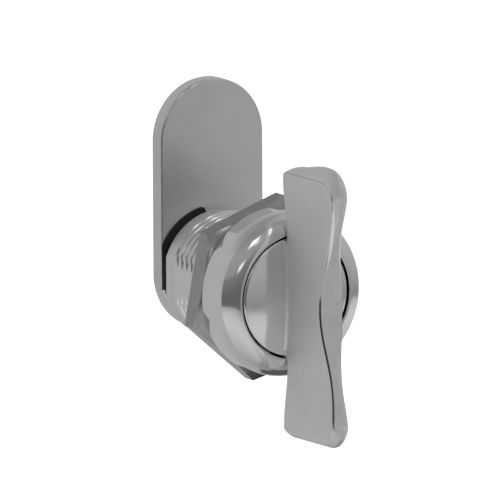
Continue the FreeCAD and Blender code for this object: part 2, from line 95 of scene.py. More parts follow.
def grid(rings, closed=False):
    """A mesh of quads between rings of points, each a loop. closed joins the last ring to the first."""
    bm = bmesh.new()
    rows = [[bm.verts.new(point) for point in ring] for ring in rings]
    pairs = list(zip(rows, rows[1:]))
    if closed:
        pairs.append((rows[-1], rows[0]))
    for near, far in pairs:
        count = len(near)
        for i in range(count):
            j = (i + 1) % count
            bm.faces.new((near[i], near[j], far[j], far[i]))
    bmesh.ops.remove_doubles(bm, verts=bm.verts, dist=1e-7)
    bmesh.ops.dissolve_degenerate(bm, dist=1e-8, edges=bm.edges)
    return bm


def arc_between(start, corner, end, radius, steps):
    """Points of the arc that rounds a corner between two straight sides, in 2-D."""
    corner, start, end = Vector(corner), Vector(start), Vector(end)
    before, after = (start - corner), (end - corner)
    if radius <= 0 or min(before.length, after.length) < 1e-9:
        return [corner]
    before.normalize()
    after.normalize()
    half = before.angle(after) / 2
    if abs(math.sin(half)) > 0.9999:
        return [corner]
    setback = radius / math.tan(half)
    centre = corner + (before + after).normalized() * (radius / math.sin(half))
    first, last = corner + before * setback - centre, corner + after * setback - centre
    sweep = first.angle(last)
    turn = 1 if first.cross(last) > 0 else -1
    points = []
    for i in range(steps + 1):
        angle = turn * sweep * i / steps
        points.append(centre + Matrix.Rotation(angle, 2) @ first)
    return points


def rounded(points, closed=True, steps=5):
    """A 2-D outline with its corners rounded. A point is (a, b) or (a, b, radius)."""
    count = len(points)
    made = []
    for i, point in enumerate(points):
        radius = point[2] if len(point) > 2 else 0.0
        if radius == 0 or (not closed and i in (0, count - 1)):
            made.append(Vector(point[:2]))
            continue
        made += arc_between(points[i - 1][:2], point[:2], points[(i + 1) % count][:2], radius, steps)
    return made


def turn_angles(steps, extra=()):
    """Angles round the axis, evenly spaced, with extra ones where an edge runs along the axis."""
    even = [FULL_TURN * i / steps for i in range(steps)]
    return sorted(set(even) | {angle % FULL_TURN for angle in extra})


def fill_openings(bm):
    """Closes every open rim of a mesh with a face."""
    bmesh.ops.holes_fill(bm, edges=[edge for edge in bm.edges if edge.is_boundary])


def lathe(profile, angles, limit=None, closed=True):
    """Turns an outline of (radius, y) about the lock's axis. limit(angle, radius, y) holds the radius in."""
    rings = []
    for radius, y in profile:
        ring = []
        for angle in angles:
            r = limit(angle, radius, y) if limit else radius
            ring.append((r * math.cos(angle), y, r * math.sin(angle)))
        rings.append(ring)
    return grid(rings, closed=closed)


# ---------------------------------------------------------------- materials
def noise(tree, coordinates, scale, detail=3.0, roughness=0.5):
    made = tree.nodes.new("ShaderNodeTexNoise")
    made.inputs["Scale"].default_value = scale
    made.inputs["Detail"].default_value = detail
    made.inputs["Roughness"].default_value = roughness
    tree.links.new(coordinates, made.inputs["Vector"])
    return made.outputs["Fac"]


def ramp(tree, value, stops):
    """Greys by value. The stops are (place, level), with the places from 0 to 1."""
    made = tree.nodes.new("ShaderNodeValToRGB")
    elements = made.color_ramp.elements
    for _ in stops[2:]:
        elements.new(0.5)
    for element, (place, level) in zip(elements, stops):
        element.position = place
        element.color = (level, level, level, 1.0)
    tree.links.new(value, made.inputs["Fac"])
    return made.outputs["Color"]


def span(tree, value, from_low, from_high, to_low, to_high):
    """Maps one range on to another, held within its ends."""
    made = tree.nodes.new("ShaderNodeMapRange")
    made.inputs["From Min"].default_value = from_low
    made.inputs["From Max"].default_value = from_high
    made.inputs["To Min"].default_value = to_low
    made.inputs["To Max"].default_value = to_high
    tree.links.new(value, made.inputs["Value"])
    return made.outputs["Result"]


def smooth_step(tree, value, low_edge, high_edge):
    """Rises smoothly from 0 at the low edge to 1 at the high edge."""
    made = tree.nodes.new("ShaderNodeMapRange")
    made.interpolation_type = "SMOOTHSTEP"
    made.inputs["From Min"].default_value = low_edge
    made.inputs["From Max"].default_value = high_edge
    tree.links.new(value, made.inputs["Value"])
    return made.outputs["Result"]


def math_node(tree, operation, a, b=0.0):
    made = tree.nodes.new("ShaderNodeMath")
    made.operation = operation
    for socket, value in zip(made.inputs, (a, b)):
        if isinstance(value, (int, float)):
            socket.default_value = value
        else:
            tree.links.new(value, socket)
    return made.outputs[0]


def attribute(tree, name):
    made = tree.nodes.new("ShaderNodeAttribute")
    made.attribute_name = name
    return made.outputs["Fac"]


def separate(tree, vector):
    made = tree.nodes.new("ShaderNodeSeparateXYZ")
    tree.links.new(vector, made.inputs[0])
    return made.outputs


def stretched(tree, coordinates, scale):
    made = tree.nodes.new("ShaderNodeMapping")
    made.inputs["Scale"].default_value = scale
    tree.links.new(coordinates, made.inputs["Vector"])
    return made.outputs["Vector"]


def bump(tree, height, strength, distance, under=None):
    made = tree.nodes.new("ShaderNodeBump")
    made.inputs["Strength"].default_value = strength
    made.inputs["Distance"].default_value = distance
    tree.links.new(height, made.inputs["Height"])
    if under is not None:
        tree.links.new(under, made.inputs["Normal"])
    return made.outputs["Normal"]


def new_material(name):
    material = bpy.data.materials.new(name)
    material.use_nodes = True
    tree = material.node_tree
    shader = tree.nodes["Principled BSDF"]
    coordinates = tree.nodes.new("ShaderNodeTexCoord").outputs["Object"]
    return material, tree, shader, coordinates


GRAIN_DEPTH = 0.01 * MM
WAVE_DEPTH = 0.12 * MM
# tone of the shade painted as a dark line along the blade's creases
PAINTED_SHADE_TONE = 0.035
FLAT_FROM, FLAT_FULL = 0.93, 0.985
END_EXTRA_ROUGH = 0.38
END_BLEND = 0.2 * MM


def plated_metal(name, tone, spread, rough, rough_spread, wave, grain, lines=None, line_depth=0.0,
                 flat_rough=None, rough_end_y=None, polished=None):
    """Plated metal, a little uneven: cloudy tone and gloss, slow waves, fine grain, and drawn lines if given.

    flat_rough is the roughness of faces square to X or Y. Past rough_end_y the casting is left unpolished.
    A mesh's painted shade attribute paints shade as a dark line where two polished faces meet, and its
    "polish" attribute takes the roughness towards polished, or away from it where it is negative.
    """
    material, tree, shader, coordinates = new_material(name)
    cloud = noise(tree, coordinates, 160, detail=4, roughness=0.6)
    fine = noise(tree, coordinates, 2600, detail=4, roughness=0.65)
    weighed = [math_node(tree, "MULTIPLY", part, share) for part, share in ((cloud, 0.65), (fine, 0.35))]
    mixed = math_node(tree, "ADD", *weighed)
    colour = ramp(tree, mixed, [(0.3, tone - spread), (0.52, tone), (0.75, tone + spread)])
    # painted shade: the mesh's painted shade attribute darkens the colour towards the shade tone along the
    # blade's creases
    mix = tree.nodes.new("ShaderNodeMix")
    mix.data_type = "RGBA"
    mix.inputs["B"].default_value = (PAINTED_SHADE_TONE, PAINTED_SHADE_TONE, PAINTED_SHADE_TONE, 1)
    tree.links.new(attribute(tree, "painted_shade"), mix.inputs["Factor"])
    tree.links.new(colour, mix.inputs["A"])
    tree.links.new(mix.outputs["Result"], shader.inputs["Base Color"])
    gloss = noise(tree, coordinates, 420, detail=3)
    roughness = span(tree, gloss, 0.3, 0.7, rough - rough_spread, rough + rough_spread)
    if flat_rough:
        normal = separate(tree, tree.nodes.new("ShaderNodeTexCoord").outputs["Normal"])
        facing = [math_node(tree, "ABSOLUTE", normal[axis]) for axis in (0, 1)]
        side = smooth_step(tree, math_node(tree, "MAXIMUM", *facing), FLAT_FROM, FLAT_FULL)
        extra = math_node(tree, "MULTIPLY", side, flat_rough - rough)
        roughness = math_node(tree, "ADD", roughness, extra)
    if polished is not None:
        change = math_node(tree, "MULTIPLY", attribute(tree, "polish"), polished - rough)
        roughness = math_node(tree, "ADD", roughness, change)
    if rough_end_y:
        along = separate(tree, coordinates)[1]
        tail = smooth_step(tree, along, rough_end_y - END_BLEND, rough_end_y + END_BLEND)
        roughness = math_node(tree, "ADD", roughness, math_node(tree, "MULTIPLY", tail, END_EXTRA_ROUGH))
    tree.links.new(roughness, shader.inputs["Roughness"])
    shader.inputs["Metallic"].default_value = 1.0
    normal = bump(tree, noise(tree, coordinates, 330, detail=2), wave, WAVE_DEPTH)
    normal = bump(tree, noise(tree, coordinates, 4200, detail=3), grain, GRAIN_DEPTH, normal)
    if lines:
        drawn = noise(tree, stretched(tree, coordinates, lines), 1.0, detail=3)
        normal = bump(tree, drawn, line_depth, GRAIN_DEPTH, normal)
    tree.links.new(normal, shader.inputs["Normal"])
    return material


def dull_material(name, tone, rough, grain_scale, grain):
    """Moulded plastic or rubber with a fine grain."""
    material, tree, shader, coordinates = new_material(name)
    shader.inputs["Specular IOR Level"].default_value = 0.2
    cloud = noise(tree, coordinates, 300, detail=3)
    tree.links.new(ramp(tree, cloud, [(0.3, tone * 0.8), (0.7, tone * 1.25)]), shader.inputs["Base Color"])
    tree.links.new(span(tree, cloud, 0.3, 0.7, rough - 0.06, rough + 0.06), shader.inputs["Roughness"])
    normal = bump(tree, noise(tree, coordinates, grain_scale, detail=3), grain, 2 * GRAIN_DEPTH)
    tree.links.new(normal, shader.inputs["Normal"])
    return material


THREAD_END_Y = 14.9 * MM
POLISHED = plated_metal("chrome_polished", 0.85, 0.05, 0.10, 0.03, 0.06, 0.10, rough_end_y=THREAD_END_Y)
SATIN = plated_metal("chrome_satin", 0.92, 0.05, 0.36, 0.03, 0.04, 0.2, flat_rough=0.62, polished=0.12)
NICKEL = plated_metal("nickel_satin", 0.77, 0.04, 0.14, 0.03, 0.02, 0.2, lines=(500, 60, 4200),
                      line_depth=0.08, flat_rough=0.42)
NUT_NICKEL = plated_metal("nut_nickel", 0.43, 0.05, 0.18, 0.04, 0.06, 0.2, lines=(3000, 80, 3000),
                          line_depth=0.12)
ZINC = plated_metal("zinc_bright", 0.80, 0.05, 0.26, 0.06, 0.10, 0.25)
SPRING = plated_metal("spring_oiled", 0.45, 0.05, 0.32, 0.06, 0.12, 0.3)
PLASTIC = dull_material("black_acetal", 0.006, 0.5, 2500, 0.3)
RUBBER = dull_material("black_nitrile", 0.025, 0.62, 3500, 0.45)


# ---------------------------------------------------------------- housing: domed bezel and threaded barrel
BARREL_RADIUS = 11.0 * MM
BARREL_FLAT = 10.0 * MM
BARREL_TIP_RADIUS = 10.7 * MM
BORE_RADIUS = 6.05 * MM
REAR_POCKET_RADIUS = 8.2 * MM
REAR_POCKET_Y = 11.0 * MM
LIP_RADIUS = 10.75 * MM
POCKET_RADIUS = 10.45 * MM
POCKET_DEPTH_Y = -4.55 * MM
RIM_Y = -3.0 * MM
DOME_RADIUS = 3.95 * MM
DOME_STEPS = 28
ROWS_PER_PITCH = 18
COLLAR_INNER, COLLAR_OUTER = 8.7 * MM, 10.3 * MM
COLLAR_ROOT = -0.3 * MM
COLLAR_FIRST, COLLAR_LAST = math.radians(-77.2), math.radians(98)
COLLAR_STEPS = 72
THREAD_PITCH = 1.5 * MM
THREAD_DEPTH = 0.85 * MM
THREAD_START_Y = 0.5 * MM


def smooth(value):
    """Rises smoothly from 0 to 1 as the value does."""
    value = min(max(value, 0.0), 1.0)
    return value * value * (3 - 2 * value)


def thread_radius(angle, y):
    """Radius of a helical thread with flat crests and roots that runs out at both ends."""
    phase = ((y - THREAD_START_Y) / THREAD_PITCH - angle / FULL_TURN) % 1.0
    flank = abs(phase - 0.5) * 2
    cut = 1 - smooth((flank - 0.16) / 0.66)
    fade = smooth((y - THREAD_START_Y) / THREAD_PITCH) * smooth((THREAD_END_Y - y) / (0.8 * THREAD_PITCH))
    return BARREL_RADIUS - THREAD_DEPTH * cut * fade


def within_flats(angle, radius):
    """Holds a radius in to the barrel's two flats."""
    across = abs(math.cos(angle))
    return min(radius, BARREL_FLAT / across) if across > TINY else radius


def barrel_limit(angle, radius, y):
    """Holds the barrel in to its thread and its two flats."""
    if y <= 0 or radius < BARREL_TIP_RADIUS - 0.6 * MM:
        return radius
    if radius > BARREL_RADIUS - 0.1 * TINY:
        radius = thread_radius(angle, y)
    return within_flats(angle, radius)


def dome_arc(start, end):
    """The bezel's domed front: points of an arc from its rim to its lip."""
    chord = end - start
    rise = math.sqrt(DOME_RADIUS**2 - (chord.length / 2) ** 2)
    inward = Vector((chord.y, -chord.x)).normalized()
    if inward.x > 0:
        inward = -inward
    centre = (start + end) / 2 + inward * rise
    first, last = start - centre, end - centre
    turn = first.angle(last) if first.cross(last) > 0 else -first.angle(last)
    return [centre + Matrix.Rotation(turn * i / DOME_STEPS, 2) @ first for i in range(1, DOME_STEPS)]


def make_housing():
    """The bezel and the threaded barrel, hollow from end to end."""
    front = BEZEL_FRONT_Y
    crest_end = THREAD_END_Y - 0.6 * MM
    outline = [(BARREL_RADIUS + 0.05 * MM, 0.0)]
    outline += rounded(
        [(13.7 * MM, 0.0), (BEZEL_RADIUS, -0.3 * MM, 0.18 * MM), (BEZEL_RADIUS, RIM_Y)], closed=False
    )
    outline += dome_arc(Vector((BEZEL_RADIUS, RIM_Y)), Vector((LIP_RADIUS, front)))
    outline += rounded(
        [tuple(outline[-1]), (LIP_RADIUS, front, 0.3 * MM), (POCKET_RADIUS, front, 0.12 * MM),
         (POCKET_RADIUS, POCKET_DEPTH_Y, 0.2 * MM), (BORE_RADIUS, POCKET_DEPTH_Y, 0.1 * MM),
         (BORE_RADIUS, REAR_POCKET_Y), (REAR_POCKET_RADIUS, REAR_POCKET_Y),
         (REAR_POCKET_RADIUS, BARREL_END_Y, 0.15 * MM), (BARREL_TIP_RADIUS, BARREL_END_Y, 0.18 * MM),
         (BARREL_TIP_RADIUS, THREAD_END_Y, 0.1 * MM), (BARREL_RADIUS, crest_end)],
        closed=False,
    )[1:]
    outline = [(point[0], point[1]) for point in outline]
    rows = int(round(crest_end / (THREAD_PITCH / ROWS_PER_PITCH)))
    outline += [(BARREL_RADIUS, crest_end * (1 - i / rows)) for i in range(1, rows)]
    flat_ends = [math.acos(BARREL_FLAT / radius) for radius in (BARREL_RADIUS, BARREL_TIP_RADIUS)]
    edges = [side + sign * end for side in (0, math.pi) for sign in (-1, 1) for end in flat_ends]
    bm = lathe(outline, turn_angles(360, edges), barrel_limit)
    return new_piece(
        "housing_shell", bm, "housing", POLISHED, ["housing"], sharp_degrees=40
    )


def make_stop_collar():
    """The ridge behind the barrel, open at the left, where the stop disc's sector turns."""
    round_radius = 0.18 * MM
    corners = [(COLLAR_INNER, COLLAR_ROOT), (COLLAR_OUTER, COLLAR_ROOT),
               (COLLAR_OUTER, COLLAR_HEIGHT, round_radius), (COLLAR_INNER, COLLAR_HEIGHT, round_radius)]
    section = rounded(corners, steps=3)
    rings = []
    for i in range(COLLAR_STEPS + 1):
        angle = COLLAR_FIRST + (COLLAR_LAST - COLLAR_FIRST) * i / COLLAR_STEPS
        rings.append([])
        for radius, out in section:
            reach = within_flats(angle, radius)
            rings[-1].append((reach * math.cos(angle), BARREL_END_Y + out, reach * math.sin(angle)))
    bm = grid(rings)
    bm.verts.ensure_lookup_table()
    count = len(section)
    bm.faces.new(bm.verts[i] for i in range(count))
    bm.faces.new(bm.verts[len(bm.verts) - count + i] for i in range(count))
    return new_piece("stop_collar", bm, "housing", POLISHED)


# ---------------------------------------------------------------- mounting nut
NUT_TURNED = math.radians(18.8)
NUT_HALF = 13.62 * MM
NUT_CORNER_ROUND = 0.15 * MM
NUT_BEVEL = math.tan(math.radians(30))
NUT_REAR_BEVEL_SHARE = 0.06
NUT_SOFT_EDGE = 0.12 * MM
NUT_BORE, NUT_COUNTERSINK = 11.1 * MM, 11.45 * MM
COUNTERSINK_DEPTH = 0.35 * MM
HEXAGON_CORNERS = [k * FULL_TURN / 6 for k in range(6)]


def hexagon_radius(angle, half_across, turned, corner_round):
    """Radius of a round-cornered hexagon at an angle. One of its corners is at the angle turned."""
    sector = (angle - turned) % (FULL_TURN / 6) - FULL_TURN / 12
    straight = half_across / math.cos(sector)
    # how far out the centre of the corner's round lies
    centre = (half_across - corner_round) / math.cos(FULL_TURN / 12)
    off = FULL_TURN / 12 - abs(sector)
    reach = centre * math.sin(off)
    if reach >= corner_round:
        return straight
    round_radius = centre * math.cos(off) + math.sqrt(corner_round**2 - reach**2)
    return min(straight, round_radius)


def make_nut():
    """The hexagon nut: a turned bevel at the front, hardly any at the back, and a countersunk bore."""
    bevel_radius = NUT_HALF - 0.15 * MM
    soft = NUT_SOFT_EDGE
    angles = turn_angles(432, [NUT_TURNED + corner for corner in HEXAGON_CORNERS])
    rings = []

    def flat(angle):
        return hexagon_radius(angle, NUT_HALF, NUT_TURNED, NUT_CORNER_ROUND)

    def drop(angle):
        """How far the front bevel falls at the edge."""
        return max(flat(angle) - bevel_radius, 0.0) * NUT_BEVEL

    def front_y(angle):
        return NUT_FRONT_Y + drop(angle)

    def back_y(angle):
        return NUT_BACK_Y - drop(angle) * NUT_REAR_BEVEL_SHARE

    def ring(radius_of, y_of):
        rings.append([(radius_of(a) * math.cos(a), y_of(a), radius_of(a) * math.sin(a)) for a in angles])

    def inside(share):
        """A radius between the bevel's start and the flat."""
        return lambda a: bevel_radius + (flat(a) - bevel_radius) * share

    def plain_ring(radius, y):
        ring(lambda a: radius, lambda a: y)

    plain_ring(bevel_radius - 0.3 * MM, NUT_FRONT_Y)
    plain_ring(bevel_radius, NUT_FRONT_Y + 0.01 * MM)
    for share in (0.35, 0.7):
        ring(inside(share), lambda a, s=share: NUT_FRONT_Y + (front_y(a) - NUT_FRONT_Y) * s)
    ring(lambda a: flat(a) - soft * 0.9, front_y)
    ring(lambda a: flat(a) - soft * 0.3, lambda a: front_y(a) + soft * 0.3)
    for share in (1, 2.2):
        ring(flat, lambda a, s=share: front_y(a) + soft * s)
    ring(flat, lambda a: (NUT_FRONT_Y + NUT_BACK_Y) / 2)
    for share in (2.2, 1):
        ring(flat, lambda a, s=share: back_y(a) - soft * s)
    ring(lambda a: flat(a) - soft * 0.3, lambda a: back_y(a) - soft * 0.3)
    ring(lambda a: flat(a) - soft * 0.9, back_y)
    for share in (0.7, 0.35):
        ring(inside(share), lambda a, s=share: NUT_BACK_Y - (NUT_BACK_Y - back_y(a)) * s)
    plain_ring(bevel_radius, NUT_BACK_Y - 0.01 * MM)
    plain_ring(bevel_radius - 0.3 * MM, NUT_BACK_Y)
    plain_ring(NUT_COUNTERSINK + 0.2 * MM, NUT_BACK_Y)
    plain_ring(NUT_COUNTERSINK, NUT_BACK_Y)
    plain_ring(NUT_BORE, NUT_BACK_Y - COUNTERSINK_DEPTH)
    plain_ring(NUT_BORE, NUT_FRONT_Y + COUNTERSINK_DEPTH)
    plain_ring(NUT_COUNTERSINK, NUT_FRONT_Y)
    plain_ring(NUT_COUNTERSINK + 0.2 * MM, NUT_FRONT_Y)
    bm = grid(rings, closed=True)
    return new_piece("hex_nut", bm, "nut", NUT_NICKEL, ["mounting_nut"], sharp_degrees=28)


# ---------------------------------------------------------------- wing knob
DISC_RADIUS = 10.1 * MM
DISC_CROWN_Y = -7.95 * MM
DISC_CROWN_RADIUS = 60 * MM
WING_HALF_HEIGHT = (WING_TOP_Z - WING_BOTTOM_Z) / 2
WING_CENTRE_Z = (WING_TOP_Z + WING_BOTTOM_Z) / 2
WING_ROOT_Y = -7.7 * MM
WING_MID_FRONT_Y = -18.15 * MM
WING_TIP_FRONT_Y = -21.1 * MM
UPPER_FRONT_CORNER, LOWER_FRONT_CORNER = 3.2 * MM, 2.6 * MM
WING_ROOT_CORNER = 0.8 * MM
TIP_CROWN = 1.5 * MM
EDGE_CROWN = 0.22 * MM
WEB_DEPTH_Y = -6.3 * MM
WEB_HALF_HEIGHT = 10.2 * MM
ROOT_FILLET = 0.4 * MM
# half the blade's thickness along its front, and along its root
FRONT_HALF_MIDDLE, FRONT_HALF_WAIST, FRONT_HALF_TIP = 2.3 * MM, 1.1 * MM, 1.55 * MM
ROOT_HALF_MIDDLE, ROOT_HALF_TIP = 2.15 * MM, 2.9 * MM
# columns of each half of a strip over the edge: the first in the side face, then the bend, then the crown
BEND_STEPS, CROWN_STEPS = 6, 8
STRIP_MARGIN = 0.6 * MM
# how strongly shade is painted on each column of the strip near the crease, as (column, weight)
PAINTED_SHADE_COLUMNS = ((2, 0.35), (3, 0.9), (4, 1.0), (5, 0.9), (6, 0.35))


def ease(fraction):
    """Rises smoothly from 0 to 1 as the fraction goes from 0 to 1."""
    return 0.5 - 0.5 * math.cos(math.pi * min(max(fraction, 0.0), 1.0))


def disc_surface_y(radius):
    """The crowned face of the knob's disc."""
    return DISC_CROWN_Y + DISC_CROWN_RADIUS - math.sqrt(DISC_CROWN_RADIUS**2 - radius**2)


def wing_front_half(z):
    """Half the blade's thickness along its front: thick in the middle, waisted, then flared."""
    along = abs(z) / WING_HALF_HEIGHT
    half = FRONT_HALF_MIDDLE + (FRONT_HALF_WAIST - FRONT_HALF_MIDDLE) * ease(along / 0.57)
    return half + (FRONT_HALF_TIP - FRONT_HALF_WAIST) * ease((along - 0.57) / 0.33)


def wing_root_half(z):
    """Half the blade's thickness along its root."""
    along = abs(z) / WING_HALF_HEIGHT
    return ROOT_HALF_MIDDLE + (ROOT_HALF_TIP - ROOT_HALF_MIDDLE) * ease((along - 0.48) / 0.42)


def wing_front_line(z):
    """The dished front edge in the side view, before its corners are rounded."""
    return WING_MID_FRONT_Y + (WING_TIP_FRONT_Y - WING_MID_FRONT_Y) * ease(abs(z) / WING_HALF_HEIGHT)


def wing_half_at(y, z):
    """Half the blade's thickness at a place in its side view, with the round where it leaves the disc."""
    share = (y - WING_ROOT_Y) / (wing_front_line(z) - WING_ROOT_Y)
    share = min(max(share, 0.0), 1.0)
    half = wing_root_half(z) + (wing_front_half(z) - wing_root_half(z)) * share
    above = disc_surface_y(min(abs(z), DISC_RADIUS)) - y
    inside_disc = smooth((9.9 * MM - abs(z)) / (0.7 * MM))
    if above < ROOT_FILLET:
        short = ROOT_FILLET - max(above, 0.0)
        half += inside_disc * (ROOT_FILLET - math.sqrt(max(0.0, ROOT_FILLET**2 - short**2)))
    return half


def wing_crease():
    """The crease round a side face as (y, z) points, from the middle of the front upwards and round."""
    upper = half_crease(WING_HALF_HEIGHT - 1.1 * MM, 0.25 * MM, UPPER_FRONT_CORNER)
    lower = half_crease(WING_HALF_HEIGHT - 1.05 * MM, 0.2 * MM, LOWER_FRONT_CORNER)
    return upper + [(y, -z) for y, z in lower[:0:-1]]


def half_crease(top, fall, corner):
    """The crease's upper half. It is at the height top by the disc, and falls a little towards the front."""
    front_steps, corner_steps, top_steps = 48, 14, 10
    straight = top - fall - corner - 0.3 * MM
    heights = [straight * i / front_steps for i in range(front_steps + 1)]
    front = [(wing_front_line(z), z) for z in heights]
    upper = rounded(
        [front[-1], (wing_front_line(top), top - fall, corner), (WING_ROOT_Y, top, WING_ROOT_CORNER),
         (WING_ROOT_Y, WEB_HALF_HEIGHT)],
        closed=False,
        steps=corner_steps,
    )[1:-1]
    split = len(upper) - corner_steps - 1
    flat_top = [upper[split - 1].lerp(upper[split], i / top_steps) for i in range(1, top_steps)]
    upper = upper[:split] + flat_top + upper[split:]
    root = [(WING_ROOT_Y, z * MM) for z in (19.6, 18.4, 17.2, 16, 14.8, 13.6, 12.4, 11.4, 10.6, 10.2)]
    web = [(WING_ROOT_Y + 0.1 * MM, 9.9 * MM), (-7.2 * MM, 9.75 * MM), (-6.8 * MM, 9.7 * MM),
           (WEB_DEPTH_Y, 9.65 * MM)]
    inside = [(WEB_DEPTH_Y, z * MM) for z in range(9, -1, -1)]
    return front + [tuple(point) for point in upper] + root + web + inside


def side_fill(loop):
    """Triangles that cover a side face inside its loop, as points and faces. The loop's points come first."""
    points = [point / MM for point in loop]
    count = len(points)
    # rows of points along the fillet at the disc, then a coarser net over the rest, all in millimetres
    extra = []
    for i in range(-56, 57):
        z = i * 0.175
        floor_y = disc_surface_y(abs(z) * MM) / MM
        extra += [(floor_y - above, z) for above in (0.0, 0.04, 0.09, 0.16, 0.26, 0.4)]
    step = 0.75
    for i in range(-30, 31):
        for j in range(28):
            y, z = -7.3 - j * step / 1.4, i * step
            if abs(z) > 9.8 or y < disc_surface_y(abs(z) * MM) / MM - 0.7:
                extra.append((y, z))
    nearest = 0.22
    for place in extra:
        place = Vector(place)
        if min((place - point).length for point in points) > nearest:
            points.append(place)
    edges = [(i, (i + 1) % count) for i in range(count)]
    made, _, faces, sources, _, _ = delaunay_2d_cdt(points, edges, [], 1, 1e-5)
    return [point * MM for point in made], faces, [min(source) if source else None for source in sources]


def blade_edge(here, outward):
    """How the blade's edge is made at a place on the crease: crown, bend radius, painted shade line and
    polish.
    """
    y, z = here
    at_tip = abs(z) > 15 * MM
    upright = max(outward.y * (1 if z > 0 else -1), 0.0) if at_tip else 0.0
    tip_crown = TIP_CROWN
    if z > 0:
        tip_crown = (0.6 + 1.4 * smooth((WING_ROOT_Y - y) / (9 * MM))) * MM
    front = smooth((-y - 12 * MM) / (4 * MM))
    bright = smooth((z - 5 * MM) / (5 * MM)) * smooth((18.6 * MM - z) / (2.5 * MM)) * front
    radius = (0.26 + 0.1 * front + 0.26 * bright) * MM
    crown = EDGE_CROWN + (tip_crown - EDGE_CROWN) * upright**0.7
    crown += 0.5 * MM * front * smooth((z - 13 * MM) / (4 * MM)) * (1 - upright)
    # where shade is painted as a dark line along the crease: low on the front, along the top of the tip, and
    # at the upper front corner
    lower_line = smooth((3 * MM - z) / (2 * MM)) * smooth((z + 19.6 * MM) / (1.5 * MM)) * front
    top_line = 0.45 * smooth((upright - 0.5) / 0.4) * (z > 0)
    corner_line = 0.6 * smooth((z - 16.5 * MM) / MM) * smooth((0.75 - upright) / 0.3) * front
    painted_shade = max(lower_line, top_line, corner_line)
    corner_gloss = front * smooth((z - 14 * MM) / (3 * MM)) * smooth((0.9 - upright) / 0.3)
    return crown, radius, painted_shade, max(bright, lower_line, corner_gloss)


def blade_strip(here, outward, crown, radius):
    """Half a section over the edge, as (distance from the blade's middle plane, place in its side view)."""
    half = wing_half_at(here.x, here.y)
    inner = here - outward * STRIP_MARGIN
    inner_half = wing_half_at(inner.x, inner.y)
    # in the section's plane: across is the distance from the middle plane, out is past the crease
    slope = 2 * crown / half
    crown_side = (0.4 * half, 0.6 * half * slope * 0.75)
    bend = arc_between((inner_half, -STRIP_MARGIN), (half, 0.0), crown_side, radius, BEND_STEPS)
    strip = [(inner_half, inner)] + [(across, here + outward * out) for across, out in bend]
    last_across, last_out = bend[-1]
    for k in range(1, CROWN_STEPS + 1):
        left = 1 - k / CROWN_STEPS
        strip.append((last_across * left, here + outward * (last_out + (crown - last_out) * (1 - left**2))))
    return strip


def make_blade():
    """The blade: strips from one side face over the crowned edge to the other, and the two side faces."""
    crease = [Vector(point) for point in wing_crease()]
    count = len(crease)
    rings, inner_loop, painted_shade_and_polish = [], [], []
    for i, here in enumerate(crease):
        along = (crease[(i + 1) % count] - crease[i - 1]).normalized()
        outward = Vector((-along.y, along.x))
        crown, radius, painted_shade, gloss = blade_edge(here, outward)
        strip = blade_strip(here, outward, crown, radius)
        loop = [(across, place.x, place.y + WING_CENTRE_Z) for across, place in strip]
        loop += [(-across, place.x, place.y + WING_CENTRE_Z) for across, place in reversed(strip[:-1])]
        rings.append(loop)
        painted_shade_and_polish.append((painted_shade, gloss))
        inner_loop.append(strip[0][1])
    bm = bmesh.new()
    polish_layer = bm.verts.layers.float.new("polish")
    # per vertex: how much shade is painted along the crease
    painted_shade_layer = bm.verts.layers.float.new("painted_shade")
    rows = [[bm.verts.new(point) for point in ring] for ring in rings]
    crown_column = BEND_STEPS + 2
    for row, (painted_shade, gloss) in zip(rows, painted_shade_and_polish):
        for column in range(2, crown_column + CROWN_STEPS):
            level = gloss if column < crown_column else -1.0
            row[column][polish_layer] = row[-1 - column][polish_layer] = level
        # paints the shade line on the columns near the crease, on both sides of the blade
        for column, weight in PAINTED_SHADE_COLUMNS:
            row[column][painted_shade_layer] = row[-1 - column][painted_shade_layer] = weight * painted_shade
    for near, far in zip(rows, rows[1:] + rows[:1]):
        for j in range(len(near) - 1):
            bm.faces.new((near[j], near[j + 1], far[j + 1], far[j]))
    places, faces, sources = side_fill(inner_loop)
    for side, column in ((1, 0), (-1, -1)):
        verts = []
        for place, source in zip(places, sources):
            if source is not None and source < count:
                verts.append(rows[source][column])
            else:
                across = side * wing_half_at(place.x, place.y)
                verts.append(bm.verts.new((across, place.x, place.y + WING_CENTRE_Z)))
        for face in faces:
            bm.faces.new([verts[k] for k in face])
    return new_piece("wing_blade", bm, "knob", SATIN, ["wing_knob"], sharp_degrees=60)


SPINDLE_RADIUS = 6.0 * MM
SQUARE_HALF = 4.0 * MM
SQUARE_CORNER_RADIUS = 5.4 * MM
DISC_BACK_Y = -5.1 * MM


def spindle_limit(angle, radius, y):
    """Holds the spindle's rear end in to its square."""
    if y < SHOULDER_Y - TINY or radius < 3.5 * MM:
        return radius
    return min(radius, SQUARE_HALF / max(abs(math.cos(angle)), abs(math.sin(angle))))


